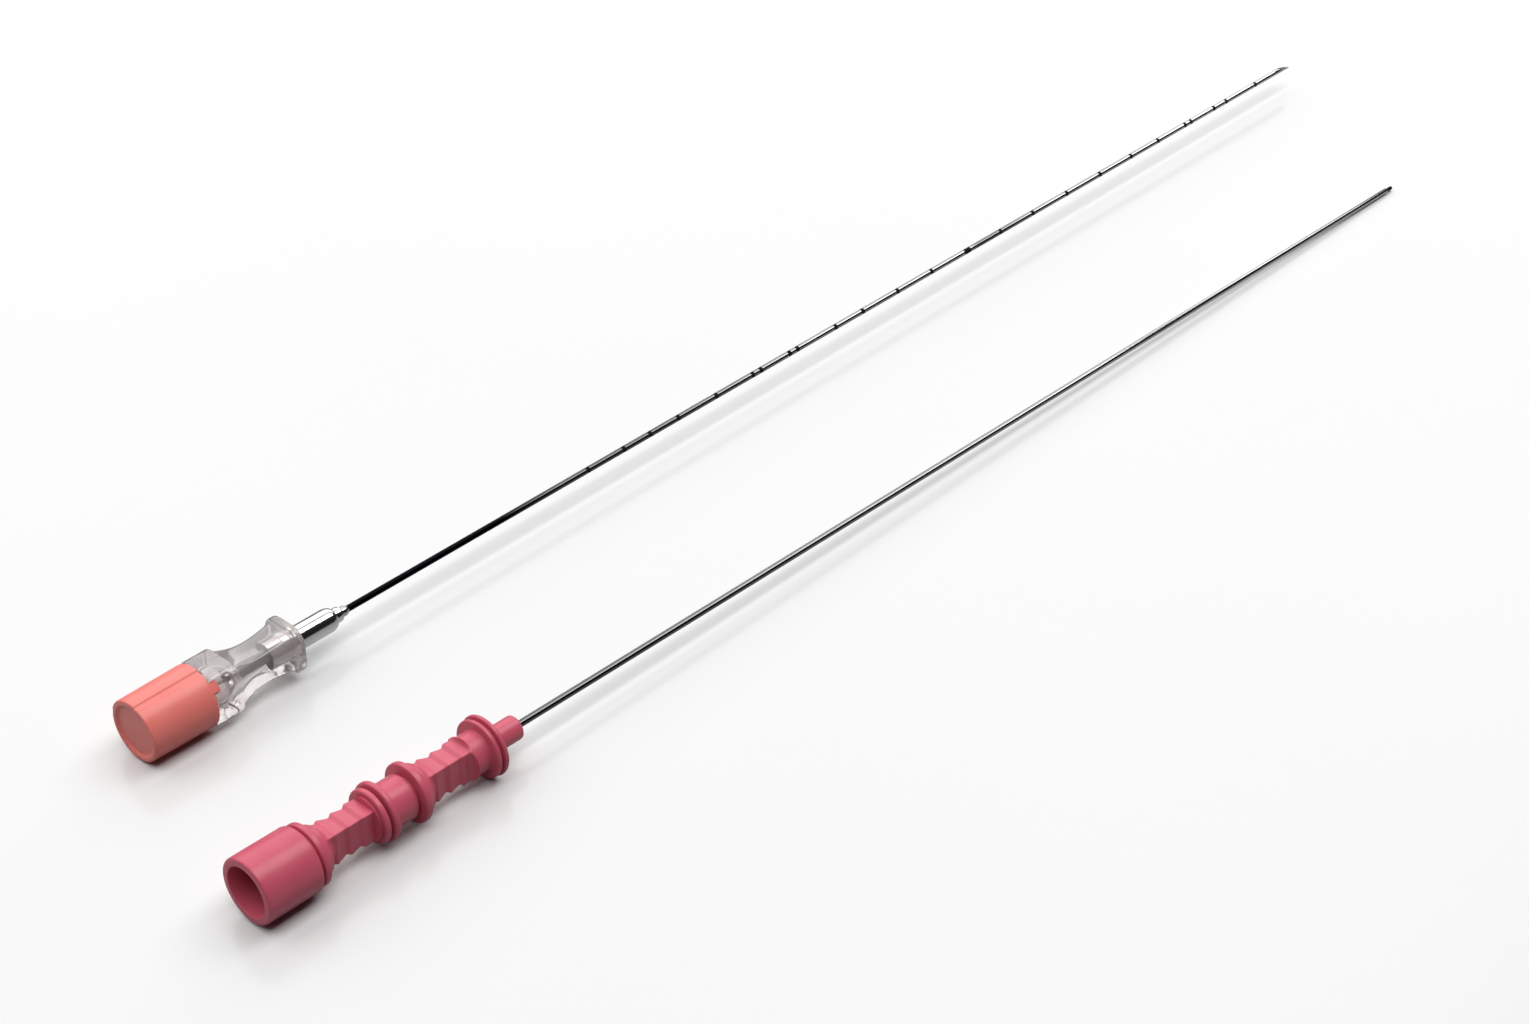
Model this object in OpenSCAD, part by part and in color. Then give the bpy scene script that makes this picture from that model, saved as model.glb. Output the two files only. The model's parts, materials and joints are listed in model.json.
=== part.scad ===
// Graduated puncture needle with its stylet, and the coaxial cannula pair that lies beside it.
// Lengths are millimetres. X runs from the hubs to the tips, Z is up, and the part lies on Z = 0.
// Each needle is drawn along X in a frame of its own and is then laid on the table.

/* [Marked cannula] */
// Length of the marked cannula in front of its nose
marked_reach = 200; // [150:1:240]
// Outside diameter of the marked cannula
marked_od = 0.82; // [0.74:0.02:0.94]
// Bore of the marked cannula
marked_id = 0.54; // [0.46:0.02:0.6]
// Length of the ground bevel at the tip
bevel_len = 3.6; // [2:0.1:6]
// Length of cannula that stands behind the steel nose, inside the clear hub
marked_tail = 4.4; // [3:0.1:5]

/* [Depth marks] */
// Distance from the nose to the first mark
first_mark = 38.5; // [20:0.5:40]
// Mean distance from one mark to the next
mark_pitch = 7.5; // [5:0.1:7.8]
// Number of marks
mark_count = 21; // [3:1:21]
// Width of a plain mark
mark_w = 0.6; // [0.3:0.05:0.9]
// Width of the broad mark
broad_mark_w = 1.4; // [1:0.1:2.4]
// Distance between the two rings of a double mark
double_gap = 1.6; // [1:0.05:2]
// Distance between the two rings of the spread mark
spread_gap = 3.4; // [2:0.1:4]
// Depth to which a mark is etched
mark_depth = 0.015; // [0.01:0.005:0.03]

/* [Stylet] */
// Diameter of the stylet wire
stylet_d = 0.46; // [0.3:0.02:0.5]
// Length of wire that is held inside the end wall of the cap
stylet_hold = 0.7; // [0.3:0.1:0.8]
// Radius of the glue well round the wire at the front of the plug
glue_well_r = 0.75; // [0.5:0.05:1.2]
// Depth of that glue well
glue_well_depth = 1.6; // [0.8:0.1:3]

/* [Stylet cap] */
// Length of the cap
cap_len = 8.6; // [8.5:0.1:12]
// Diameter of the cap at its closed end
cap_rear_d = 7.45; // [7.2:0.05:8.2]
// Diameter of the cap at its open end
cap_front_d = 7.7; // [7.5:0.05:8.4]
// Thickness of the closed end
cap_end = 1.9; // [1.4:0.1:2.1]
// Depth of the dished recess in the closed end
recess_depth = 0.3; // [0.1:0.05:0.5]
// Width of the rim round that recess
recess_rim = 0.5; // [0.4:0.05:1]
// Rounding of the outer edges of the cap
cap_round = 0.4; // [0.1:0.05:0.45]
// Height of the raised land along the cap
land_rise = 0.09; // [0.05:0.01:0.25]
// Angle at which the land starts, up from the side that faces the other needle
land_start = 78; // [60:1:90]
// Angle over which the land runs
land_sweep = 82; // [40:1:90]
// Length of the plug that goes into the hub's socket
plug_len = 7; // [5:0.1:7.5]
// Angle of the key, up from the side that faces the other needle
key_angle = 40; // [20:1:60]
// Width of the key
key_w = 1.4; // [0.8:0.1:2]
// Length of the key in front of the cap's rim
key_len = 0.9; // [0.5:0.1:1.8]

/* [Clear hub] */
// Length of the slot in the collar that takes the key
slot_len = 2.3; // [2:0.1:2.8]
// Radius of the mouth of the tapered socket
socket_r = 2.155; // [2.1:0.005:2.2]
// Depth of the tapered socket
socket_depth = 8.5; // [8:0.1:9.5]
// Radius lost for each millimetre of the socket's taper
taper_share = 0.03; // [0.025:0.001:0.035]
// Radius of the hub tube inside the cap
hub_tube_r = 2.85; // [2.7:0.05:2.95]
// Length of the hub tube behind the collar
hub_tube_len = 6.3; // [5.8:0.1:6.5]
// Width of the collar across its flats
collar_w = 6.8; // [6.6:0.1:7.2]
// Radius to which the corners of the collar are turned
collar_r = 3.96; // [3.8:0.02:4.2]
// Thickness of the collar
collar_t = 3.5; // [3.1:0.1:4.2]
// Length of the waisted grip
waist_len = 8; // [7.5:0.1:10]
// Half height of the grip at its waist
waist_half_z = 2.05; // [1.9:0.05:2.3]
// Half width of the grip at its waist
waist_half_y = 2.2; // [1.9:0.05:2.4]
// Width of the front flange across its flats
flange_w = 6.1; // [5.9:0.1:6.6]
// Radius to which the corners of the front flange are turned
flange_r = 3.48; // [3.4:0.02:3.9]
// Thickness of the front flange
flange_t = 1.1; // [1:0.1:2]

/* [Steel nose] */
// Diameter of the steel nose
nose_d = 2.9; // [2.6:0.05:3.1]
// Length from the clear hub to where the bare cannula starts
nose_out = 8.3; // [7:0.1:10]
// Length of the nose inside the clear hub
nose_in = 3.6; // [3:0.1:4.5]
// Length of the rounded shoulder
shoulder_len = 1.1; // [0.8:0.1:1.6]
// Radius at the small end of the shoulder
shoulder_r = 0.92; // [0.8:0.02:1.1]
// Length of the turned bead in front of the shoulder
bead_len = 0.95; // [0.7:0.05:1.2]
// Length of the solder fillet in front of the bead
solder_len = 1.1; // [0.8:0.1:1.5]
// Radius of the solder fillet
solder_r = 0.62; // [0.56:0.02:0.7]

/* [Coaxial cannulas] */
// Length of the outer cannula in front of its nose
outer_reach = 178.6; // [120:0.2:200]
// Outside diameter of the outer cannula
outer_od = 0.84; // [0.78:0.02:0.96]
// Bore of the outer cannula
outer_id = 0.62; // [0.58:0.02:0.68]
// Outside diameter of the inner cannula
inner_od = 0.56; // [0.48:0.02:0.56]
// Bore of the inner cannula
inner_id = 0.3; // [0.2:0.02:0.38]
// Length of the inner cannula in front of the outer one
inner_lead = 1.5; // [0.8:0.1:3]

/* [Rear hub] */
// Outside diameter of the open socket
mouth_od = 7.6; // [7.5:0.1:8.2]
// Bore of the open socket
mouth_id = 5.8; // [5.4:0.1:6]
// Length of the open socket outside
mouth_len = 6.9; // [6.5:0.1:8]
// Depth of the open socket's bore
mouth_depth = 5.2; // [4.4:0.1:5.4]
// Diameter of the flange at the rear of the rear grip
rear_disc_d = 7.2; // [6.9:0.1:7.4]
// Width of the groove behind each first flange
groove_w = 0.35; // [0.2:0.05:0.6]
// Thickness of each flange
disc_t = 0.7; // [0.5:0.05:0.9]
// Length of each ribbed grip
grip_len = 7.2; // [6.6:0.1:9]
// Number of ribs on each face of a grip
rib_count = 4; // [3:1:5]
// Height of a rib
rib_rise = 0.24; // [0.1:0.02:0.26]
// Half height of a ribbed grip at its waist
grip_half_z = 1.66; // [1.56:0.02:1.68]
// Half width of a ribbed grip at its waist
grip_half_y = 1.3; // [1.2:0.02:1.36]
// Radius to which the corners of a ribbed grip are turned
grip_r = 2.6; // [2.58:0.02:2.8]
// Diameter of the rear hub's flange where the two hubs meet
meeting_rear_d = 6.3; // [5.8:0.1:6.6]
// Diameter of the front hub's flange where the two hubs meet
meeting_front_d = 6.9; // [6.4:0.1:7.2]
// Space left between the two flanges that meet
meeting_gap = 0.3; // [0.2:0.05:0.6]
// Length of the round neck between the rear grip and its meeting flange
rear_neck_len = 0.3; // [0.2:0.05:0.6]
// Radius of the male taper at its root
male_r = 1.75; // [1.6:0.05:1.9]
// Length of the male taper
male_len = 3; // [2:0.1:3.2]

/* [Front hub] */
// Diameter of the plain barrel
barrel_d = 5.2; // [5:0.1:6]
// Length of the plain barrel
barrel_len = 3.1; // [3:0.1:4]
// Diameter of the flange at the rear of the front grip
front_disc_d = 7; // [6.6:0.1:7.4]
// Length of the round neck in front of the front grip
neck_len = 2; // [1:0.1:2.4]
// Diameter of the first flange in front of that neck
end_disc_d = 6.9; // [6.6:0.1:7.1]
// Diameter of the last flange, which carries the pair on the table
last_disc_d = 7.2; // [7:0.1:7.4]
// Thickness of each of those two flanges
end_disc_t = 0.5; // [0.45:0.05:0.8]
// Diameter of the plastic nose
tip_nose_d = 2.9; // [2.4:0.02:3.2]
// Length of the plastic nose
tip_nose_len = 4.1; // [3:0.1:6]
// Radius of the glue well in the plastic nose
tip_well_r = 0.78; // [0.7:0.02:0.9]
// Depth of the glue well in the plastic nose
tip_well_depth = 1.2; // [0.8:0.1:2]

/* [Lying on the table] */
// Distance of the rear hub's mouth behind the bare start of the marked cannula
pair_back = 37.5; // [30:0.5:45]
// Distance between the two axes at the rear hub's mouth
pair_gap = 28.9; // [15:0.1:40]
// Angle by which the cannula pair turns away from the marked needle
pair_turn = 0.77; // [0:0.01:3]

/* [Hidden] */
$fn = 96;

// Overrun of every cut
cut = 0.2;
// Radial clearance of a glued or soldered seat
seat_gap = 0.01;
// Radial clearance of each plug in its tapered socket
plug_gap = 0.04;
// Clearance of the cap's skirt and rim round the clear hub
cap_gap = 0.1;
// Clearance of the key in its slot
key_gap = 0.1;
// Length of the key inside the cap's skirt, and its inset from the cap's outside
key_root = 1.2;
key_inset = 0.3;
// Radius of the throat between the clear hub's socket and the cannula
throat_r = 0.5;
// Length of the cone between the clear hub's socket and its throat
funnel_len = 1.7;
// Length of the clear throat behind the cannula
throat_len = 0.5;
// Rounding of the clear hub's edges
hub_round = 0.35;
// Depth of the glue ring round the steel nose in the clear flange, and its width
ring_depth = 0.5;
ring_w = 0.25;
// Depth and width of the holding grooves turned in the hidden end of the steel nose
hold_depth = 0.12;
hold_w = 0.5;
hold_count = 2;
// Depth of the neck between the shoulder and the bead, and how far the bead stands above it
neck_dip = 0.08;
bead_rise = 0.09;
// Depth of the grooves between flanges, below the smaller of the two rims
groove_depth = 0.55;
// Rounding of the flange rims and of the plain barrels of the coaxial hubs
disc_round = 0.2;
barrel_round = 0.4;
// Length of the round shoulder in front of a flange, and its radius at the flange
flare_len = 2.2;
flare_r = 3.2;
// Share of a rib's pitch that its steep side takes
rib_steep_share = 0.25;
// How far the faces of a ribbed grip spread towards its rear and its front
grip_rear_spread = 0.6;
grip_front_spread = 0.2;
// Radius of the boss between the two flanges that meet
boss_r = 2.6;
// Space between the boss and the flange that it meets
boss_gap = 0.1;
// Length of the glue round the inner cannula, and its radius
rear_well_len = 1.6;
rear_well_r = 0.8;
// Length of the funnel ahead of the male taper, and the space in front of the taper's end
front_funnel_len = 1.1;
male_end_gap = 0.4;
// Length of the outer cannula inside the front hub
outer_tail = 13.4;
// Distance from each mark to the next one, as a share of the mean distance
mark_step_share = [0.84, 0.63, 0.69, 0.95, 1.05, 0.97, 1.15, 0.76, 1, 1, 1.09, 1.03, 1.03,
                   1.12, 1.12, 1.08, 0.96, 1.1, 1.2, 1.36];
// Order numbers of the marks that are double, spread and broad
double_marks = [5, 6, 18];
spread_mark = 19;
broad_mark = 11;

// Marked needle: stations along X, with 0 where the bare cannula starts
flange_front = -nose_out;
flange_rear = flange_front - flange_t;
collar_front = flange_rear - waist_len;
collar_rear = collar_front - collar_t;
hub_mouth = collar_rear - hub_tube_len;
cap_front = collar_rear - cap_gap;
cap_rear = cap_front - cap_len;
cap_floor = cap_rear + cap_end;
socket_floor = hub_mouth + socket_depth;
nose_rear = flange_front - nose_in;
marked_rear = nose_rear - marked_tail;
bead_front = -solder_len;
bead_rear = bead_front - bead_len;
shoulder_rear = bead_rear - shoulder_len;
plug_front = hub_mouth + plug_len;

marked_r = marked_od / 2;
stylet_r = stylet_d / 2;
nose_r = nose_d / 2;
cap_r = cap_front_d / 2;
skirt_r = hub_tube_r + cap_gap;
socket_floor_r = socket_r - taper_share * socket_depth;

// Coaxial pair: stations along X, with 0 at the open mouth
outer_r = outer_od / 2;
inner_r = inner_od / 2;
mouth_r = mouth_od / 2;
first_disc = mouth_len + groove_w;
rear_grip = first_disc + disc_t;
rear_meet = rear_grip + grip_len + rear_neck_len;
rear_end = rear_meet + disc_t;
front_meet = rear_end + meeting_gap;
male_root = front_meet - boss_gap;
male_end = male_root + male_len;
barrel_rear = front_meet + disc_t;
barrel_front = barrel_rear + barrel_len;
front_disc = barrel_front + groove_w;
front_grip = front_disc + disc_t;
neck_rear = front_grip + grip_len;
end_disc = neck_rear + neck_len;
last_disc = end_disc + end_disc_t + groove_w;
tip_nose_rear = last_disc + end_disc_t;
tip_nose_front = tip_nose_rear + tip_nose_len;
rear_well = mouth_len;
male_end_r = male_r - taper_share * male_len;
female_floor = male_end + male_end_gap;
female_r = male_r + plug_gap + taper_share * boss_gap;
female_floor_r = female_r - taper_share * (female_floor - front_meet);
outer_front = tip_nose_front + outer_reach;
outer_rear = tip_nose_front - outer_tail;
inner_front = outer_front + inner_lead;

// The pair lies on the end of its outer cannula and on the open socket or the last flange
pair_tilt = max(atan((mouth_r - outer_r) / (outer_front - mouth_len)),
                atan((last_disc_d / 2 - outer_r) / (outer_front - tip_nose_rear)));
pair_height = outer_front * sin(pair_tilt) + outer_r * cos(pair_tilt);

// Middle of the floor area that both needles cover, which is where the origin goes
span_rear = -pair_back - mouth_r * (sin(pair_turn) + sin(pair_tilt));
mid_x = (marked_reach + span_rear) / 2;
mid_y = (cap_r - pair_gap - mouth_len * sin(pair_turn) - mouth_r) / 2;

// Points of an arc about a centre, from one angle to another, in equal steps
function arc(centre, radius, from, to, steps = 4) =
    [for (i = [0 : steps]) centre + radius * [cos(from + (to - from) * i / steps),
                                              sin(from + (to - from) * i / steps)]];

// Outline [radius, station] of a disc or drum with both outer edges rounded
function drum(from, to, rear_r, front_r, rounding) =
    concat([[0, from]],
           arc([rear_r - rounding, from + rounding], rounding, -90, 0),
           arc([front_r - rounding, to - rounding], rounding, 0, 90),
           [[0, to]]);

// Half width of a waisted grip at a share of its length, from its two ends and its waist
function waisted(share, rear, waist, front) =
    share < 0.5 ? waist + (rear - waist) * pow(1 - 2 * share, 2)
                : waist + (front - waist) * pow(2 * share - 1, 2);

// Outline points [station, half width] of one face of a ribbed grip, ribs sloping to the front
function ribbed(from, waist) =
    [for (i = [0 : rib_count - 1], steep = [0, rib_steep_share, 1])
        let (share = (i + steep) / rib_count,
             face = waisted(share, waist + grip_rear_spread, waist, waist + grip_front_spread),
             rise = steep == rib_steep_share ? rib_rise : 0)
        if (steep < 1 || i == rib_count - 1) [from + share * grip_len, face + rise]];

// Outline points of both sides of a bar that is symmetrical about its axis
function both_sides(points) =
    concat(points, [for (i = [len(points) - 1 : -1 : 0]) [points[i][0], -points[i][1]]]);

// A solid turned about X from points [radius, station]
module turned(points) {
    rotate([0, 90, 0]) rotate_extrude() polygon(points);
}

// A round bar or bore along X
module bar(from, to, radius) {
    translate([from, 0, 0]) rotate([0, 90, 0]) cylinder(r = radius, h = to - from);
}

// A cone along X
module taper(from, to, rear_r, front_r) {
    translate([from, 0, 0]) rotate([0, 90, 0]) cylinder(r1 = rear_r, r2 = front_r, h = to - from);
}

// A bar along X with the outline seen from the side, or from above when flat is true
module profiled(points, half_depth, flat = false) {
    rotate([flat ? 0 : 90, 0, 0]) translate([0, 0, -half_depth])
        linear_extrude(2 * half_depth) polygon(both_sides(points));
}

// A plate across X with flats and turned corners
module turned_square(from, to, width, radius) {
    intersection() {
        turned(drum(from, to, radius, radius, hub_round));
        translate([from, -width / 2, -width / 2]) cube([to - from, width, width]);
    }
}

// Turns a piece about X to an angle up from the side that faces the other needle
module at_angle(angle) {
    rotate([180 - angle, 0, 0]) children();
}

// Puts the marked needle on the table
module lay_marked() {
    translate([-mid_x, -mid_y, cap_r]) children();
}

// Puts the coaxial pair on the table
module lay_pair() {
    translate([-pair_back - mid_x, -pair_gap - mid_y, pair_height])
        rotate([0, pair_tilt, -pair_turn]) children();
}

// The cut that grinds the bevel across the tip of the marked needle
module bevel_cut() {
    slope = 2 * marked_r / bevel_len;
    over = bevel_len + cut;
    translate([0, marked_r + cut, 0]) rotate([90, 0, 0]) linear_extrude(2 * (marked_r + cut))
        polygon([[marked_reach - over, -marked_r + slope * over],
                 [marked_reach + cut, -marked_r - slope * cut],
                 [marked_reach + cut, -marked_r + slope * over]]);
}

// Radius of the stylet's tapered plug at a station
function plug_r(station) = socket_r - plug_gap - taper_share * (station - hub_mouth);

// Outside of the cap: a tapered drum with a raised land along part of it
module drum_and_land(rear_r) {
    turned(drum(cap_rear, cap_front, rear_r, cap_r, cap_round));
    rotate([0, 90, 0]) rotate([0, 0, -90 - land_start - land_sweep])
        rotate_extrude(angle = land_sweep)
            polygon(drum(cap_rear, cap_front, rear_r + land_rise, cap_r + land_rise,
                         cap_round + land_rise));
}

// Salmon cap of the stylet: skirt, dished end, raised land, socket plug and key
module stylet_cap() {
    rear_r = cap_rear_d / 2;
    dish_r = rear_r - recess_rim;
    color("salmon") lay_marked() {
        difference() {
            union() {
                difference() {
                    drum_and_land(rear_r);
                    bar(cap_floor, cap_front + cut, skirt_r);
                }
                taper(cap_floor - stylet_hold, plug_front, plug_r(cap_floor - stylet_hold),
                      plug_r(plug_front));
            }
            taper(cap_rear - cut, cap_rear + recess_depth, dish_r + cut, dish_r - recess_depth);
            bar(cap_floor - stylet_hold, plug_front + cut, stylet_r + seat_gap);
            bar(plug_front - glue_well_depth, plug_front + cut, glue_well_r);
        }
        difference() {
            at_angle(key_angle) translate([cap_front - key_root, 0, -key_w / 2])
                cube([key_root + key_len, cap_r - key_inset, key_w]);
            bar(cap_rear, cap_front + key_len + cut, skirt_r + key_gap);
        }
    }
}

// Solid steel wire that fills the marked cannula and shares its bevel
module stylet_wire() {
    color("silver") lay_marked() difference() {
        bar(cap_floor - stylet_hold, marked_reach, stylet_r);
        bevel_cut();
    }
}

// Glue that holds the wire in the plug
module stylet_bond() {
    color("khaki") lay_marked() difference() {
        bar(plug_front - glue_well_depth + seat_gap, plug_front, glue_well_r - seat_gap);
        bar(cap_floor, plug_front + cut, stylet_r + seat_gap);
    }
}

// Clear moulded hub: tapered socket, collar with key slot, waisted grip and front flange
module needle_hub() {
    ends_z = collar_w / 2 - hub_round;
    flange_z = flange_w / 2 - hub_round;
    steps = 12;
    side = [for (i = [0 : steps]) [collar_front + waist_len * i / steps,
            waisted(i / steps, ends_z, waist_half_z, flange_z)]];
    plan = [for (i = [0 : steps]) [collar_front + waist_len * i / steps,
            waisted(i / steps, ends_z, waist_half_y, flange_z)]];
    corner = norm([waist_half_y, waist_half_z]) - hub_round;
    round_ends = [[0, collar_front], for (i = [0 : steps])
                  [waisted(i / steps, collar_r - hub_round, corner, flange_r - hub_round),
                   collar_front + waist_len * i / steps], [0, flange_rear]];
    color("lightcyan", 0.5) lay_marked() difference() {
        union() {
            bar(hub_mouth, collar_rear + collar_t / 2, hub_tube_r);
            turned_square(collar_rear, collar_front, collar_w, collar_r);
            intersection() {
                profiled(side, collar_w);
                profiled(plan, collar_w, flat = true);
                turned(round_ends);
            }
            turned_square(flange_rear, flange_front, flange_w, flange_r);
        }
        taper(hub_mouth - cut, socket_floor, socket_r + taper_share * cut, socket_floor_r);
        taper(socket_floor, socket_floor + funnel_len, socket_floor_r, throat_r);
        bar(socket_floor, marked_rear, throat_r);
        bar(marked_rear - throat_len, flange_front, marked_r + seat_gap);
        bar(nose_rear, flange_front + cut, nose_r + seat_gap);
        bar(flange_front - ring_depth, flange_front + cut, nose_r + ring_w);
        difference() {
            at_angle(key_angle) translate([collar_rear - cut, 0, -key_w / 2 - key_gap])
                cube([slot_len + cut, collar_r + cut, key_w + 2 * key_gap]);
            bar(collar_rear - 2 * cut, collar_front, skirt_r);
        }
    }
}

// Turned steel nose: holding grooves, plain barrel, rounded shoulder and bead
module ferrule() {
    drop = nose_r - shoulder_r;
    neck_r = shoulder_r - neck_dip;
    bead_r = neck_r + bead_rise;
    steps = 6;
    outline = concat(
        [[marked_r + seat_gap, nose_rear], [nose_r, nose_rear], [nose_r, shoulder_rear]],
        [for (i = [1 : steps]) [shoulder_r + drop * cos(90 * i / steps),
                                shoulder_rear + shoulder_len * sin(90 * i / steps)]],
        [for (i = [0 : steps]) [neck_r + (bead_r - neck_r) * sin(180 * i / steps),
                                bead_rear + bead_len * i / steps]],
        [[marked_r + seat_gap, bead_front]]);
    color("silver") lay_marked() difference() {
        turned(outline);
        for (i = [1 : hold_count])
            difference() {
                groove = nose_rear + (nose_in - ring_depth) * i / (hold_count + 1) - hold_w / 2;
                bar(groove, groove + hold_w, nose_r + cut);
                bar(groove - cut, groove + hold_w + cut, nose_r - hold_depth);
            }
    }
}

// Ring of glue round the steel nose, in the front of the clear flange
module ferrule_bond() {
    color("khaki", 0.6) lay_marked() difference() {
        bar(flange_front - ring_depth + seat_gap, flange_front, nose_r + ring_w - seat_gap);
        bar(flange_front - ring_depth - cut, flange_front + cut, nose_r + seat_gap);
    }
}

// Station of a depth mark, counted from the nose
function mark_at(order) = order == 0 ? first_mark
                        : mark_at(order - 1) + mark_pitch * mark_step_share[order - 1];

// One etched ring round the marked cannula
module etched_ring(station, width) {
    difference() {
        bar(station - width / 2, station + width / 2, marked_r + cut);
        bar(station - width, station + width, marked_r - mark_depth);
    }
}

// Marked cannula: a plain tube with its depth marks and bevel
module marked_cannula() {
    color("gainsboro") lay_marked() difference() {
        bar(marked_rear, marked_reach, marked_r);
        bar(marked_rear - cut, marked_reach + cut, marked_id / 2);
        bevel_cut();
        for (i = [0 : mark_count - 1]) {
            station = mark_at(i);
            double = len(search(i, double_marks)) > 0;
            gap = i == spread_mark ? spread_gap : double ? double_gap : 0;
            if (gap > 0) {
                etched_ring(station - gap / 2, mark_w);
                etched_ring(station + gap / 2, mark_w);
            } else {
                etched_ring(station, i == broad_mark ? broad_mark_w : mark_w);
            }
        }
    }
}

// Solder fillet between the steel nose and the bare cannula
module nose_solder() {
    steps = 6;
    start_r = solder_r - bead_rise;
    outline = concat([[marked_r + seat_gap, bead_front]],
        [for (i = [0 : steps]) [i < steps / 2
            ? start_r + (solder_r - start_r) * sin(180 * i / steps)
            : marked_r + 2 * seat_gap + (solder_r - marked_r - 2 * seat_gap) * sin(180 * i / steps),
            bead_front + solder_len * i / steps]],
        [[marked_r + seat_gap, 0]]);
    color("gray") lay_marked() turned(outline);
}

// A ribbed four-sided grip with a round shoulder at its rear
module ribbed_grip(from) {
    to = from + grip_len;
    steps = 5;
    envelope = concat([[0, from]],
        [for (i = [0 : steps]) [grip_r + (flare_r - grip_r) * pow(1 - i / steps, 2),
                                from + flare_len * i / steps]],
        [[grip_r, to], [0, to]]);
    intersection() {
        turned(envelope);
        union() {
            intersection() {
                profiled(ribbed(from, grip_half_z), mouth_r);
                profiled(ribbed(from, grip_half_y), mouth_r, flat = true);
            }
            taper(from, from + flare_len, mouth_r, grip_half_y);
        }
    }
}

// Rear hub of the coaxial pair: open socket, flange, ribbed grip, meeting flange, male taper
module rear_hub() {
    color("palevioletred") lay_pair() difference() {
        union() {
            turned(drum(0, mouth_len, mouth_r, mouth_r, barrel_round));
            bar(mouth_len - cut, first_disc + cut, rear_disc_d / 2 - groove_depth);
            turned(drum(first_disc, rear_grip, rear_disc_d / 2, rear_disc_d / 2, disc_round));
            ribbed_grip(rear_grip);
            bar(rear_grip + grip_len, rear_meet + cut, grip_r - disc_round);
            turned(drum(rear_meet, rear_end, meeting_rear_d / 2, meeting_rear_d / 2,
                        disc_round));
            bar(rear_end - cut, male_root, boss_r);
            taper(male_root - cut, male_end, male_r + taper_share * cut, male_end_r);
        }
        bar(-cut, mouth_depth, mouth_id / 2);
        taper(mouth_depth - cut, rear_well, mouth_id / 2, rear_well_r);
        bar(rear_well - cut, rear_well + rear_well_len, rear_well_r);
        bar(rear_well, male_end + cut, inner_r + seat_gap);
    }
}

// Glue that holds the inner cannula in the rear hub
module rear_bond() {
    color("khaki") lay_pair() difference() {
        bar(rear_well, rear_well + rear_well_len - seat_gap, rear_well_r - seat_gap);
        bar(rear_well - cut, rear_well + rear_well_len + cut, inner_r + seat_gap);
    }
}

// Inner cannula, open from the socket to its blunt tip
module inner_cannula() {
    color("dimgray") lay_pair() difference() {
        bar(rear_well, inner_front, inner_r);
        bar(rear_well - cut, inner_front + cut, inner_id / 2);
    }
}

// Front hub of the coaxial pair: meeting flange, barrel, ribbed grip, end flanges and nose
module front_hub() {
    color("palevioletred") lay_pair() difference() {
        union() {
            turned(drum(front_meet, barrel_rear, meeting_front_d / 2, meeting_front_d / 2,
                        disc_round));
            turned(drum(barrel_rear - cut - barrel_round, barrel_front, barrel_d / 2, barrel_d / 2,
                        barrel_round));
            bar(barrel_front - cut, front_disc + cut, barrel_d / 2 - groove_depth);
            turned(drum(front_disc, front_grip, front_disc_d / 2, front_disc_d / 2, disc_round));
            ribbed_grip(front_grip);
            bar(neck_rear, end_disc + cut, grip_r - disc_round);
            turned(drum(end_disc, end_disc + end_disc_t, end_disc_d / 2, end_disc_d / 2,
                        disc_round));
            bar(end_disc, last_disc + cut, end_disc_d / 2 - groove_depth);
            turned(drum(last_disc, tip_nose_rear, last_disc_d / 2, last_disc_d / 2, disc_round));
            turned(drum(last_disc, tip_nose_front, tip_nose_d / 2, tip_nose_d / 2, disc_round));
        }
        taper(front_meet - cut, female_floor, female_r + taper_share * cut, female_floor_r);
        taper(female_floor, female_floor + front_funnel_len, female_floor_r, outer_r + seat_gap);
        bar(female_floor, tip_nose_front + cut, outer_r + seat_gap);
        bar(tip_nose_front - tip_well_depth, tip_nose_front + cut, tip_well_r);
    }
}

// Glue that holds the outer cannula in the plastic nose
module front_bond() {
    color("khaki") lay_pair() difference() {
        bar(tip_nose_front - tip_well_depth + seat_gap, tip_nose_front - disc_round,
            tip_well_r - seat_gap);
        bar(tip_nose_front - tip_well_depth, tip_nose_front, outer_r + seat_gap);
    }
}

// Outer cannula of the coaxial pair
module outer_cannula() {
    color("silver") lay_pair() difference() {
        bar(outer_rear, outer_front, outer_r);
        bar(outer_rear - cut, outer_front + cut, outer_id / 2);
    }
}

stylet_cap();
stylet_wire();
stylet_bond();
needle_hub();
ferrule();
ferrule_bond();
marked_cannula();
nose_solder();
rear_hub();
rear_bond();
inner_cannula();
front_hub();
front_bond();
outer_cannula();
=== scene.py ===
"""Looks of a graduated puncture needle with its stylet, and of the coaxial cannula pair beside it.

Lengths are millimetres along each needle's own axis until a piece is placed in the frame.
"""
import json
import math

import bmesh
import bpy
import numpy as np
from mathutils import Matrix, Vector


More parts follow.
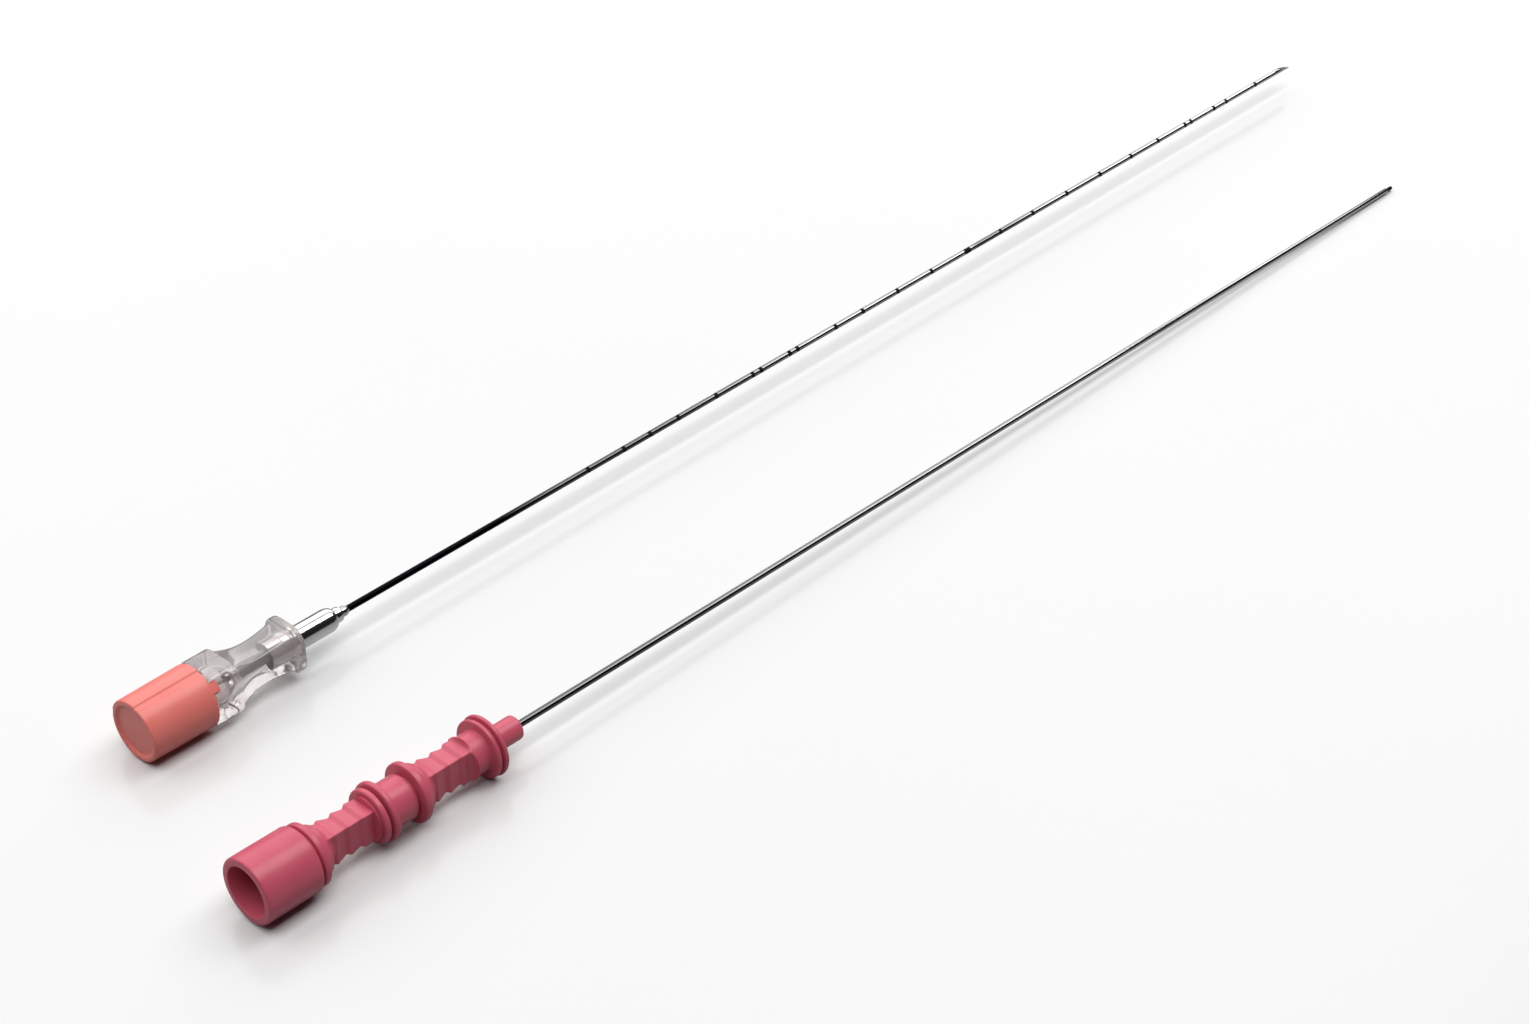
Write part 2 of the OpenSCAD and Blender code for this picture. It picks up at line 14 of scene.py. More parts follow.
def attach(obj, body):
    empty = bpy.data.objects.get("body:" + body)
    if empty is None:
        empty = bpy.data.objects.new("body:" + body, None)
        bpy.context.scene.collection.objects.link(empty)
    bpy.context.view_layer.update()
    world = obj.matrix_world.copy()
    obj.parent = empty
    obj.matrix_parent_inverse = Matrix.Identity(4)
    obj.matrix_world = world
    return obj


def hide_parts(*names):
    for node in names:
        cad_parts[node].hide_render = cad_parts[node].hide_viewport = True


MM = 0.001
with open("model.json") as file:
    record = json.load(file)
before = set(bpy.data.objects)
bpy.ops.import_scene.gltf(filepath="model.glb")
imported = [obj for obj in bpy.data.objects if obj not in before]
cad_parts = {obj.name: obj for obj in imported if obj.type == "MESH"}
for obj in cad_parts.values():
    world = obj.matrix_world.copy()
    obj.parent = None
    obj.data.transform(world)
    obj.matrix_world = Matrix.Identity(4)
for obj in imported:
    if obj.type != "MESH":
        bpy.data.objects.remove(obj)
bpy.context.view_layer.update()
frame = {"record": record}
MOUNTS = {m["name"]: m for m in frame["record"]["mounts"]}

# Marked needle: stations along its axis, with 0 where the bare cannula starts
CAP_REAR, CAP_FLOOR, CAP_FRONT = -29.6, -27.7, -21.0
HUB_MOUTH, COLLAR_REAR, COLLAR_FRONT = -27.2, -20.9, -17.4
PLUG_FRONT, SOCKET_FLOOR, THROAT_REAR, MARKED_REAR = -20.2, -18.7, -17.0, -16.3
NOSE_REAR, FLANGE_REAR, FLANGE_FRONT = -11.9, -9.4, -8.3
SHOULDER_REAR, BEAD_REAR, BEAD_FRONT = -3.15, -2.05, -1.1
MARKED_REACH, BEVEL_LEN = 200.0, 3.6
CAP_REAR_R, CAP_FRONT_R, SKIRT_R = 3.725, 3.85, 2.95
LAND_RISE, LAND_FROM, LAND_TO, LAND_EDGE = 0.09, 20.0, 102.0, 2.4
LINE_DEPTH, LINE_TURN, LINE_HALF = 0.06, 2.6, 7.0
KEY_ANGLE, KEY_W, KEY_LEN, SLOT_LEN = 140.0, 1.4, 0.9, 2.3
HUB_TUBE_R, SOCKET_R, TAPER = 2.85, 2.155, 0.03
COLLAR_HALF, COLLAR_R, HUB_ROUND = 3.4, 3.96, 0.35
WAIST_HALF_Y, WAIST_HALF_Z = 2.2, 2.05
FLANGE_HALF, FLANGE_R = 3.05, 3.48
NOSE_R, SHOULDER_R, BEAD_R, NECK_R, SOLDER_R = 1.45, 0.92, 0.93, 0.84, 0.62
MARKED_R, MARKED_BORE_R, STYLET_R, STYLET_HOLD = 0.41, 0.27, 0.23, 0.7
GLUE_R, GLUE_DEPTH, RING_W, RING_DEPTH = 0.75, 1.6, 0.25, 0.5
SEAT, PLUG_GAP = 0.01, 0.04
DISH_DEPTH, DISH_EDGE, RIM_W, LAND_FADE_R, LAND_FADE = 0.3, 0.85, 0.5, 3.2, 0.3
KEY_ROOT, KEY_SINK, KEY_TOP, SLOT_PLAY, SLOT_OVERRUN = 1.2, 0.1, 0.3, 0.1, 0.5
COLLAR_LEAD, THROAT_R, THROAT_LEAD, BEVEL_LEAD = 0.25, 0.5, 0.5, 1.0
SHOULDER_LEN, BEAD_LEN, SOLDER_DROP, BEAD_SHARES = 1.1, 0.95, 0.1, (0.05, 0.95)

# Depth marks
FIRST_MARK, MARK_PITCH = 38.5, 7.5
MARK_STEPS = (0.84, 0.63, 0.69, 0.95, 1.05, 0.97, 1.15, 0.76, 1, 1, 1.09, 1.03, 1.03, 1.12, 1.12,
              1.08, 0.96, 1.1, 1.2, 1.36)
MARK_W, BROAD_W, DOUBLE_GAP, SPREAD_GAP, MARK_DEPTH = 0.6, 1.4, 1.6, 3.4, 0.015
DOUBLE_MARKS, SPREAD_MARK, BROAD_MARK = (5, 6, 18), 19, 11

# Coaxial pair: stations along its axis, with 0 at the open mouth
MOUTH_R, MOUTH_BORE_R, MOUTH_LEN, MOUTH_DEPTH = 3.8, 2.9, 6.9, 5.2
FIRST_DISC, REAR_GRIP, REAR_MEET, REAR_END = 7.25, 7.95, 15.45, 16.15
MALE_ROOT, MALE_END, FRONT_MEET, BARREL_REAR = 16.35, 19.35, 16.45, 17.15
BARREL_FRONT, FRONT_DISC, FRONT_GRIP, NECK_REAR = 20.25, 20.6, 21.3, 28.5
END_DISC, LAST_DISC, TIP_NOSE_REAR, TIP_NOSE_FRONT = 30.5, 31.35, 31.85, 35.95
OUTER_REAR, OUTER_FRONT, INNER_FRONT = 22.55, 214.55, 216.05
FEMALE_FLOOR, FUNNEL_LEN, WELL_LEN, WELL_R = 19.75, 1.1, 1.6, 0.8
DISC_T, END_T, DISC_ROUND, GROOVE_DEPTH, BARREL_ROUND = 0.7, 0.5, 0.24, 0.55, 0.4
REAR_DISC_R, REAR_MEETING_R, FRONT_MEETING_R, BARREL_R = 3.6, 3.15, 3.45, 2.6
FRONT_DISC_R, END_DISC_R, LAST_DISC_R, TIP_NOSE_R = 3.5, 3.45, 3.6, 1.45
BOSS_R, MALE_R, FEMALE_R = 2.6, 1.75, 1.79
GRIP_LEN, RIB_COUNT, RIB_RISE, STEEP_SHARE = 7.2, 4, 0.24, 0.25
RIB_SOFT_SHARE, RIB_LAST_SHARE = 0.011, 0.9999
GRIP_HALF_Y, GRIP_HALF_Z, REAR_SPREAD, FRONT_SPREAD = 1.3, 1.66, 0.6, 0.2
GRIP_R, FLARE_R, FLARE_LEN, SCOOP_LEN = 2.6, 3.2, 2.2, 0.6
OUTER_R, OUTER_BORE_R, INNER_R, INNER_BORE_R = 0.42, 0.31, 0.28, 0.15
TIP_WELL_R, TIP_WELL_DEPTH, TIP_GLUE_SINK = 0.78, 1.2, 0.2
SOCKET_LEAD, GRIP_DROP, GRIP_STEP, NECK_STEP, SCOOP_RISE = 0.2, 0.2, 0.1, 0.15, 0.4

# Roundings of edges, from the finest to the largest
FINE, THIN, SMALL, EDGE, SOFT, WIDE, FULL, BLUNT = 0.05, 0.08, 0.1, 0.12, 0.15, 0.2, 0.3, 0.4
TUBE_EDGE = 0.03

# Share of the straight beside a corner that its rounding can take
ROUND_SHARE = 0.48

# Points round the cap, a hub, the nose, a glue ring and a cannula
CAP_SIDES, HUB_SIDES, NOSE_SIDES, GLUE_SIDES, TUBE_SIDES = 480, 240, 144, 96, 48

# Rings along the hub's waist, a ribbed grip, the nose's curves and the solder
WAIST_STEPS, GRIP_STEPS, NOSE_STEPS, SOLDER_STEPS = 30, 112, 12, 15

# Steps round a rounding, the end of a cannula and the edge of a slab
ROUND_STEPS, TUBE_EDGE_STEPS, SLAB_STEPS = 5, 2, 3

# Angles in degrees past which an edge stays sharp: usual, on the nose and on the solder
SHARP, NOSE_SHARP, SOLDER_SHARP = 38, 50, 60

# How crisply flats cut a round form: plate, waist, ribbed grip, and the core of its shoulder
PLATE_POWER, WAIST_POWER, GRIP_POWER, CORE_POWER = 26, 16, 40, 24

# Stage, in metres and watts: each light's place, aim, width, height and power
KEY_LIGHT = ((1.0, -0.75, 3.0), (1.0, -0.76, 0), 6.4, 1.9, 135)
BACK_LIGHT = ((1.3, 1.68, 1.3), (1.3, 1.37, 0.35), 7.0, 2.6, 84)
ROOM_LIGHT, BACKDROP = 0.015, 0.75
TABLE_HALF, TABLE_BOUNCE, TABLE_TONES, TABLE_ROUGH, TABLE_NOISE = 1.6, 0.33, (0.725, 0.74), 0.17, 6

# Camera, in metres, degrees and millimetres
CAMERA_PLACE, CAMERA_TILT, CAMERA_TURN = (-0.220446, -0.173556, 0.17345), 55.71, -48.254
CAMERA_LENS, SENSOR_W, CLIP = 58.86, 36.0, (0.01, 10)

# Light and deep tone of each plastic, with its roughness and its coat
SALMON, ROSE = ((0.88, 0.235, 0.205), (0.85, 0.21, 0.18)), ((0.62, 0.106, 0.162), (0.57, 0.09, 0.142))
PLASTIC_GLOSS, PLASTIC_COAT = 0.34, 0.14

# Tone and roughness of the steels, and the strength of their lines where it isn't the usual one
POLISHED, SOLDERED, GROUND = (0.8, 0.11, 0.0), (0.55, 0.18, 0.4), (0.3, 0.45)
CANNULA, STYLET, INNER = (0.95, 0.1), (0.2, 0.3), (0.01, 0.3)

# Noise: stretches along the needles, and the places of the deep and the light tone
EVEN, FLOW, DRAWN = (1, 1, 1), (0.18, 1, 1), (0.02, 1, 1)
STOPS, WIDE_STOPS = (0.3, 0.7), (0.2, 0.8)

# Finishes of the marked tube, by the order of its materials
PLAIN, ETCHED, GROUND_FACE = 0, 1, 2


def marked_place():
    """Where the marked needle lies: its axis and its station 0, from the mount at the hub's mouth."""
    mouth = Vector(MOUNTS["syringe_socket"]["pos_m"])
    return Matrix.Translation(mouth - Vector((HUB_MOUTH * MM, 0, 0))) @ Matrix.Scale(MM, 4)


def pair_place():
    """Where the coaxial pair lies, from the bore mount of its open socket."""
    socket = MOUNTS["open_socket"]
    out = Vector(socket["axis"])
    mouth = Vector(socket["pos_m"]) + out * (socket["dims"]["length_mm"] / 2 * MM)
    turn, tilt = math.atan2(out.y, -out.x), math.asin(out.z)
    lie = Matrix.Rotation(-turn, 4, "Z") @ Matrix.Rotation(tilt, 4, "Y")
    return Matrix.Translation(mouth) @ lie @ Matrix.Scale(MM, 4)


# Outlines

def filleted(corners, steps=ROUND_STEPS):
    """Points of an outline whose corners (station, radius, rounding) are rounded."""
    made = []
    for i, (station, radius, rounding) in enumerate(corners):
        here = np.array((station, radius))
        if rounding == 0 or i in (0, len(corners) - 1):
            made.append((station, radius))
            continue
        back = np.array(corners[i - 1][:2]) - here
        ahead = np.array(corners[i + 1][:2]) - here
        back_len, ahead_len = np.linalg.norm(back), np.linalg.norm(ahead)
        back, ahead = back / back_len, ahead / ahead_len
        half = math.acos(float(np.clip(back @ ahead, -1, 1))) / 2
        reach = min(rounding / math.tan(half), ROUND_SHARE * back_len, ROUND_SHARE * ahead_len)
        for t in np.linspace(0, 1, steps + 1):
            near, far = here + back * reach, here + ahead * reach
            made.append(tuple((1 - t) ** 2 * near + 2 * t * (1 - t) * here + t ** 2 * far))
    return made


def waisted(share, rear, waist, front):
    """Half width of a waisted grip at a share of its length."""
    if share < 0.5:
        return waist + (rear - waist) * (1 - 2 * share) ** 2
    return waist + (front - waist) * (2 * share - 1) ** 2


def eased(share):
    """A share that leaves 0 and reaches 1 gently."""
    return share * share * (3 - 2 * share)


def ring(station, radius, sides=HUB_SIDES, flats=None, power=PLATE_POWER):
    """Points round the axis at a station: a circle, or one that flats (half y, half z) cut."""
    turns = np.linspace(0, 2 * math.pi, sides, endpoint=False)
    y, z = np.cos(turns), np.sin(turns)
    radii = np.full(sides, float(radius))
    if flats:
        total = radii ** -power + (abs(y) / flats[0]) ** power + (abs(z) / flats[1]) ** power
        radii = total ** (-1 / power)
    return np.column_stack([np.full(sides, float(station)), radii * y, radii * z])


def pole(station):
    """The one point where a skin closes on the axis."""
    return np.array([[station, 0.0, 0.0]])


def turned(outline, sides):
    """Rings through the points of a turned outline. A radius of 0 is a pole."""
    return [ring(station, radius, sides) if radius > 0 else pole(station) for station, radius in outline]


def lathe(corners, sides=HUB_SIDES, steps=ROUND_STEPS):
    """Rings of a turned outline whose corners are rounded."""
    return turned(filleted(corners, steps), sides)


# Meshes

def skin(name, rings, place, finishes, bands=None, loop=False, sharp=SHARP):
    """A closed surface through rings of points. bands gives the finish between each two rings."""
    points, faces, finish_of = [], [], []
    starts = []
    for points_of in rings:
        starts.append(len(points))
        points.extend(points_of.tolist())
    pairs = list(zip(range(len(rings) - 1), range(1, len(rings))))
    if loop:
        pairs.append((len(rings) - 1, 0))
    for number, (a, b) in enumerate(pairs):
        sides_a, sides_b = len(rings[a]), len(rings[b])
        sides = max(sides_a, sides_b)
        for i in range(sides):
            j = (i + 1) % sides
            if sides_a == 1:
                faces.append((starts[a], starts[b] + j, starts[b] + i))
            elif sides_b == 1:
                faces.append((starts[a] + i, starts[a] + j, starts[b]))
            else:
                faces.append((starts[a] + i, starts[a] + j, starts[b] + j, starts[b] + i))
            finish_of.append(bands[number] if bands else 0)
    mesh = bpy.data.meshes.new(name)
    mesh.from_pydata(points, [], faces)
    mesh.polygons.foreach_set("material_index", finish_of)
    mesh.transform(place)
    return settled(name, mesh, finishes, sharp)


def settled(name, mesh, finishes, sharp=SHARP):
    """An object with its normals outward, smooth but for edges sharper than an angle."""
    work = bmesh.new()
    work.from_mesh(mesh)
    bmesh.ops.recalc_face_normals(work, faces=work.faces)
    work.to_mesh(mesh)
    work.free()
    for finish in finishes:
        mesh.materials.append(finish)
    mesh.shade_smooth()
    mesh.set_sharp_from_angle(angle=math.radians(sharp))
    made = bpy.data.objects.new(name, mesh)
    bpy.context.scene.collection.objects.link(made)
    return made


def slab(low, high, place, turn, rounding):
    """A block with rounded edges between two corners, turned about the needle's axis."""
    mesh = bpy.data.meshes.new("slab")
    work = bmesh.new()
    bmesh.ops.create_cube(work, size=1)
    low, high = Vector(low), Vector(high)
    for v in work.verts:
        v.co = Vector([low[i] + (v.co[i] + 0.5) * (high[i] - low[i]) for i in range(3)])
    if rounding:
        bmesh.ops.bevel(work, geom=work.edges[:], offset=rounding, segments=SLAB_STEPS, profile=0.5,
                        affect="EDGES")
    work.to_mesh(mesh)
    work.free()
    mesh.transform(place @ Matrix.Rotation(math.radians(turn), 4, "X"))
    made = bpy.data.objects.new("slab", mesh)
    bpy.context.scene.collection.objects.link(made)
    return made


def combined(base, other, how):
    """base after a boolean with other, which is used up."""
    name, finishes = base.name, list(base.data.materials)
    step = base.modifiers.new("shape", "BOOLEAN")
    step.object, step.operation, step.solver = other, how, "EXACT"
    bpy.context.view_layer.update()
    mesh = bpy.data.meshes.new_from_object(base.evaluated_get(bpy.context.evaluated_depsgraph_get()))
    for used in (other, base):
        bpy.data.objects.remove(used)
    mesh.materials.clear()
    return settled(name, mesh, finishes)


def put(piece, body, slot, *nodes):
    """Hangs a piece on its body and lets it stand for its CAD nodes; its slot is not used."""
    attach(piece, body)
    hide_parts(*nodes)
    return piece


# Materials

def grey(value):
    """A grey as a colour."""
    return (value, value, value)


# Painted reflection and shade on the cannulas, as tones at stations along them. Marked cannula: dark next to
# the nose, lighter past the first mark, a painted dark reflection band just past the broad mark, brighter
# toward the tip
MARKED_PAINTED_REFLECTION = [(24, (0.003, 0.0034, 0.005)), (34, grey(0.12)), (50, grey(0.145)), (66, grey(0.24)),
                (82, grey(0.42)), (115, grey(0.45)), (116.5, grey(0.2)), (122, grey(0.21)),
                (128, grey(0.33)), (134, grey(0.46)), (141, grey(0.46)), (158, grey(0.53)),
                (173, grey(0.7)), (200, grey(0.74))]
# Outer cannula: painted reflection and shade, darker next to its hub and brighter toward the tip
PAIR_PAINTED_REFLECTION = [(36, grey(0.16)), (55, grey(0.185)), (85, grey(0.28)), (115, grey(0.36)), (145, grey(0.5)),
              (175, grey(0.9)), (215, grey(0.92))]


class Finish:
    """A procedural material round one Principled shader."""

    def __init__(self, name):
        self.material = bpy.data.materials.new(name)
        self.material.use_nodes = True
        self.nodes = self.material.node_tree.nodes
        self.links = self.material.node_tree.links
        self.shader = self.nodes["Principled BSDF"]
        self.coords = self.add("ShaderNodeTexCoord").outputs["Object"]

    def add(self, kind, **settings):
        """A new node with its settings."""
        node = self.nodes.new(kind)
        for key, value in settings.items():
            setattr(node, key, value)
        return node

    def set(self, **values):
        """Plain values for inputs of the shader."""
        for key, value in values.items():
            self.shader.inputs[key.replace("_", " ").title().replace("Ior", "IOR")].default_value = value

    def into(self, socket, value):
        """Links a value to an input of the shader."""
        self.links.new(value, self.shader.inputs[socket])

    def noise(self, scale, detail, stretch):
        """Noise over the object, scale in cells per metre."""
        mapping = self.add("ShaderNodeMapping")
        mapping.inputs["Scale"].default_value = stretch
        self.links.new(self.coords, mapping.inputs["Vector"])
        made = self.add("ShaderNodeTexNoise")
        made.inputs["Scale"].default_value = scale
        made.inputs["Detail"].default_value = detail
        self.links.new(mapping.outputs["Vector"], made.inputs["Vector"])
        return made.outputs["Fac"]

    def ramp(self, value, *stops):
        """Colours at stops (place, colour)."""
        made = self.add("ShaderNodeValToRGB")
        elements = made.color_ramp.elements
        while len(elements) < len(stops):
            elements.new(0.5)
        for element, (at, colour) in zip(elements, stops):
            element.position = at
            element.color = (*colour, 1)
        self.links.new(value, made.inputs["Fac"])
        return made.outputs["Color"]

    def mottled(self, deep, light, scale, detail=2, stretch=EVEN, stops=STOPS):
        """A colour that wanders between two tones."""
        return self.ramp(self.noise(scale, detail, stretch), (stops[0], deep), (stops[1], light))

    def bump(self, strength, depth, scale, detail=2, stretch=EVEN):
        """Relief from noise, depth in metres."""
        made = self.add("ShaderNodeBump")
        made.inputs["Strength"].default_value = strength
        made.inputs["Distance"].default_value = depth
        self.links.new(self.noise(scale, detail, stretch), made.inputs["Height"])
        self.into("Normal", made.outputs["Normal"])


def plastic(name, light, deep, gloss, coat):
    """Moulded plastic: flow mottling, slightly uneven gloss, fine mould texture."""
    made = Finish(name)
    made.into("Base Color", made.mottled(deep, light, scale=320, detail=4))
    made.into("Roughness", made.mottled(grey(gloss - 0.03), grey(gloss + 0.04), scale=900))
    made.bump(strength=0.12, depth=0.00001, scale=5200)
    made.set(specular_ior_level=0.36, coat_weight=coat, coat_roughness=0.24)
    return made.material


def clear_plastic():
    """Clear polycarbonate with flow lines along the hub."""
    made = Finish("clear_plastic")
    deep, light = (0.94, 0.87, 0.865), (0.99, 0.94, 0.935)
    made.into("Base Color", made.mottled(deep, light, scale=400, stops=WIDE_STOPS))
    made.into("Roughness", made.mottled(grey(0.015), grey(0.05), scale=700))
    made.bump(strength=0.6, depth=0.0001, scale=900, detail=3, stretch=FLOW)
    made.set(transmission_weight=0.82, ior=1.25, coat_weight=1.0, coat_roughness=0.04)
    return made.material


def glue():
    """Cured clear adhesive."""
    made = Finish("clear_glue")
    made.into("Base Color", made.mottled((0.72, 0.66, 0.56), (0.86, 0.82, 0.74), scale=1500))
    made.into("Roughness", made.mottled(grey(0.12), grey(0.3), scale=2600))
    made.set(transmission_weight=0.6, ior=1.5)
    return made.material


def steel(name, tone, rough, lines=0.3):
    """Drawn or turned stainless steel with fine lines round or along it."""
    made = Finish(name)
    made.into("Base Color", made.mottled(grey(tone * 0.94), grey(tone), scale=500, detail=3))
    made.into("Roughness", made.mottled(grey(rough * 0.7), grey(rough * 1.4), scale=2400, stretch=DRAWN))
    made.bump(strength=lines, depth=0.000002, scale=5200, stretch=DRAWN)
    made.set(metallic=1.0)
    return made


def graded(made, start, stops):
    """Multiplies the tone by colours at stations (station, colour) along the needle: painted reflection and
    shade.
    """
    first, last = stops[0][0], stops[-1][0]
    parts = made.add("ShaderNodeSeparateXYZ")
    made.links.new(made.coords, parts.inputs["Vector"])
    share = made.add("ShaderNodeMapRange")
    share.inputs["From Min"].default_value = start + first * MM
    share.inputs["From Max"].default_value = start + last * MM
    made.links.new(parts.outputs["X"], share.inputs["Value"])
    tones = made.ramp(share.outputs["Result"],
                      *[((station - first) / (last - first), tone) for station, tone in stops])
    base = made.shader.inputs["Base Color"].links[0].from_socket
    mix = made.add("ShaderNodeMix", data_type="RGBA", blend_type="MULTIPLY")
    mix.inputs["Factor"].default_value = 1.0
    made.links.new(base, mix.inputs["A"])
    made.links.new(tones, mix.inputs["B"])
    made.into("Base Color", mix.outputs["Result"])
    return made.material


def marked_steel():
    """Cannula steel with painted reflection and shade: dark next to the nose, lighter from the first mark, a
    painted dark band just past the broad mark, and brighter toward the tip.
    """
    start = MOUNTS["syringe_socket"]["pos_m"][0] - HUB_MOUTH * MM
    return graded(steel("marked_steel", *CANNULA), start, MARKED_PAINTED_REFLECTION)


def cannula_steel():
    """Outer cannula with painted reflection and shade: dark next to its hub and brighter toward the tip."""
    return graded(steel("cannula_steel", *CANNULA), MOUNTS["open_socket"]["pos_m"][0], PAIR_PAINTED_REFLECTION)


def black_etch():
    """Black etched rings."""
    made = Finish("black_etch")
    made.into("Base Color", made.mottled(grey(0.004), grey(0.012), scale=3000))
    made.into("Roughness", made.mottled(grey(0.55), grey(0.7), scale=4200))
    made.set(specular_ior_level=0.08)
    return made.material


# Marked needle

def stylet_cap(place, salmon):
    """Cap, skirt, plug and key, with the raised land along its outside."""
    plug_r = [SOCKET_R - PLUG_GAP - TAPER * (station - HUB_MOUTH) for station in (CAP_FLOOR, PLUG_FRONT)]
    outside = filleted([
        (CAP_REAR + DISH_DEPTH, 0, 0), (CAP_REAR + DISH_DEPTH, CAP_REAR_R - DISH_EDGE, SOFT),
        (CAP_REAR, CAP_REAR_R - RIM_W, EDGE), (CAP_REAR, CAP_REAR_R, BLUNT),
        (CAP_FRONT, CAP_FRONT_R, BLUNT), (CAP_FRONT, SKIRT_R, SMALL)])
    inside = filleted([
        (CAP_FRONT, SKIRT_R, 0), (CAP_FLOOR, SKIRT_R, WIDE), (CAP_FLOOR, plug_r[0], WIDE),
        (PLUG_FRONT, plug_r[1], SOFT), (PLUG_FRONT, GLUE_R, 0), (PLUG_FRONT - GLUE_DEPTH, GLUE_R, 0),
        (PLUG_FRONT - GLUE_DEPTH, STYLET_R + SEAT, 0), (CAP_FLOOR - STYLET_HOLD, STYLET_R + SEAT, 0),
        (CAP_FLOOR - STYLET_HOLD, 0, 0)])
    rings = [with_land(station, radius) if radius > 0 else pole(station) for station, radius in outside]
    rings += turned(inside[1:], CAP_SIDES)
    cap = skin("stylet_cap_shell", rings, place, [salmon])
    key = slab((CAP_FRONT - KEY_ROOT, SKIRT_R + KEY_SINK, -KEY_W / 2),
               (CAP_FRONT + KEY_LEN, CAP_FRONT_R - KEY_TOP, KEY_W / 2), place, KEY_ANGLE, EDGE)
    return put(combined(cap, key, "UNION"), "stylet", "salmon_plastic", "stylet_cap")


def with_land(station, radius):
    """A ring of the cap's outside, raised between the sides of its land, with a groove along it."""
    points = ring(station, radius, CAP_SIDES)
    turns = np.degrees(np.arctan2(points[:, 2], points[:, 1])) % 360
    land = eased(np.clip(np.minimum(turns - LAND_FROM, LAND_TO - turns) / LAND_EDGE, 0, 1))
    groove = eased(np.clip(1 - abs(turns - LAND_TO - LINE_TURN) / LINE_HALF, 0, 1))
    lift = LAND_RISE * land - LINE_DEPTH * groove
    outer = np.clip((radius - LAND_FADE_R) / LAND_FADE, 0, 1)
    points[:, 1:] *= (1 + outer * lift / radius)[:, None]
    return points


def block_rings(start, end, radius, half, rounding):
    """Rings of a plate across the axis with four flats and rounded edges."""
    made = []
    for face, inward in ((start, 1), (end, -1)):
        for turn in np.radians(np.linspace(0, 90, ROUND_STEPS + 1))[::inward]:
            inset = rounding * (1 - math.sin(turn))
            made.append(ring(face + inward * rounding * (1 - math.cos(turn)), radius - inset,
                             flats=(half - inset, half - inset)))
    return made


def needle_hub(place, clear):
    """Clear hub: socket tube, square collar with a key slot, waisted grip, square flange."""
    socket_floor_r = SOCKET_R - TAPER * (SOCKET_FLOOR - HUB_MOUTH)
    end_y, flange_half = COLLAR_HALF - HUB_ROUND, FLANGE_HALF - HUB_ROUND
    corner = math.hypot(WAIST_HALF_Y, WAIST_HALF_Z) - HUB_ROUND
    rings = lathe([(HUB_MOUTH, SOCKET_R, 0), (HUB_MOUTH, HUB_TUBE_R, SOFT),
                   (COLLAR_REAR, HUB_TUBE_R, SMALL), (COLLAR_REAR, HUB_TUBE_R + COLLAR_LEAD, 0)])
    rings += block_rings(COLLAR_REAR, COLLAR_FRONT, COLLAR_R, COLLAR_HALF, HUB_ROUND)
    for i in range(1, WAIST_STEPS):
        share = i / WAIST_STEPS
        rings.append(ring(
            COLLAR_FRONT + (FLANGE_REAR - COLLAR_FRONT) * share,
            waisted(share, COLLAR_R - HUB_ROUND, corner, FLANGE_R - HUB_ROUND),
            flats=(waisted(share, end_y, WAIST_HALF_Y, flange_half),
                   waisted(share, end_y, WAIST_HALF_Z, flange_half)), power=WAIST_POWER))
    rings += block_rings(FLANGE_REAR, FLANGE_FRONT, FLANGE_R, FLANGE_HALF, HUB_ROUND)
    rings += lathe([
        (FLANGE_FRONT, NOSE_R + RING_W, 0), (FLANGE_FRONT - RING_DEPTH, NOSE_R + RING_W, 0),
        (FLANGE_FRONT - RING_DEPTH, NOSE_R + SEAT, 0), (NOSE_REAR, NOSE_R + SEAT, 0),
        (NOSE_REAR, MARKED_R + SEAT, 0), (MARKED_REAR - THROAT_LEAD, MARKED_R + SEAT, 0),
        (MARKED_REAR - THROAT_LEAD, THROAT_R, 0), (THROAT_REAR, THROAT_R, FULL),
        (SOCKET_FLOOR, socket_floor_r, FULL),
        (HUB_MOUTH, SOCKET_R, 0)])[:-1]
    hub = skin("clear_hub_shell", rings, place, [clear], loop=True)
    half_slot = KEY_W / 2 + SLOT_PLAY
    slot = slab((COLLAR_REAR - SLOT_OVERRUN, SKIRT_R, -half_slot),
                (COLLAR_REAR + SLOT_LEN, COLLAR_R + SLOT_OVERRUN, half_slot), place, KEY_ANGLE, 0)
    return put(combined(hub, slot, "DIFFERENCE"), "marked_needle", "clear_plastic", "needle_hub")


def ferrule(place, polished):
    """Turned nose: barrel, rounded shoulder, neck and bead, and its bore."""
    drop = NOSE_R - SHOULDER_R
    shoulder = [(SHOULDER_REAR + SHOULDER_LEN * math.sin(turn), SHOULDER_R + drop * math.cos(turn))
                for turn in np.radians(np.linspace(0, 90, NOSE_STEPS))]
    bead = [(BEAD_REAR + BEAD_LEN * share, NECK_R + (BEAD_R - NECK_R) * math.sin(math.pi * share))
            for share in np.linspace(*BEAD_SHARES, NOSE_STEPS)]
    outline = filleted([(NOSE_REAR, MARKED_R + SEAT, 0), (NOSE_REAR, NOSE_R, SMALL),
                        (SHOULDER_REAR, NOSE_R, 0)])
    outline += shoulder[1:] + bead + [(BEAD_FRONT, MARKED_R + SEAT)]
    made = skin("steel_nose", turned(outline, NOSE_SIDES), place, [polished], loop=True, sharp=NOSE_SHARP)
    return put(made, "marked_needle", "polished_steel", "ferrule")


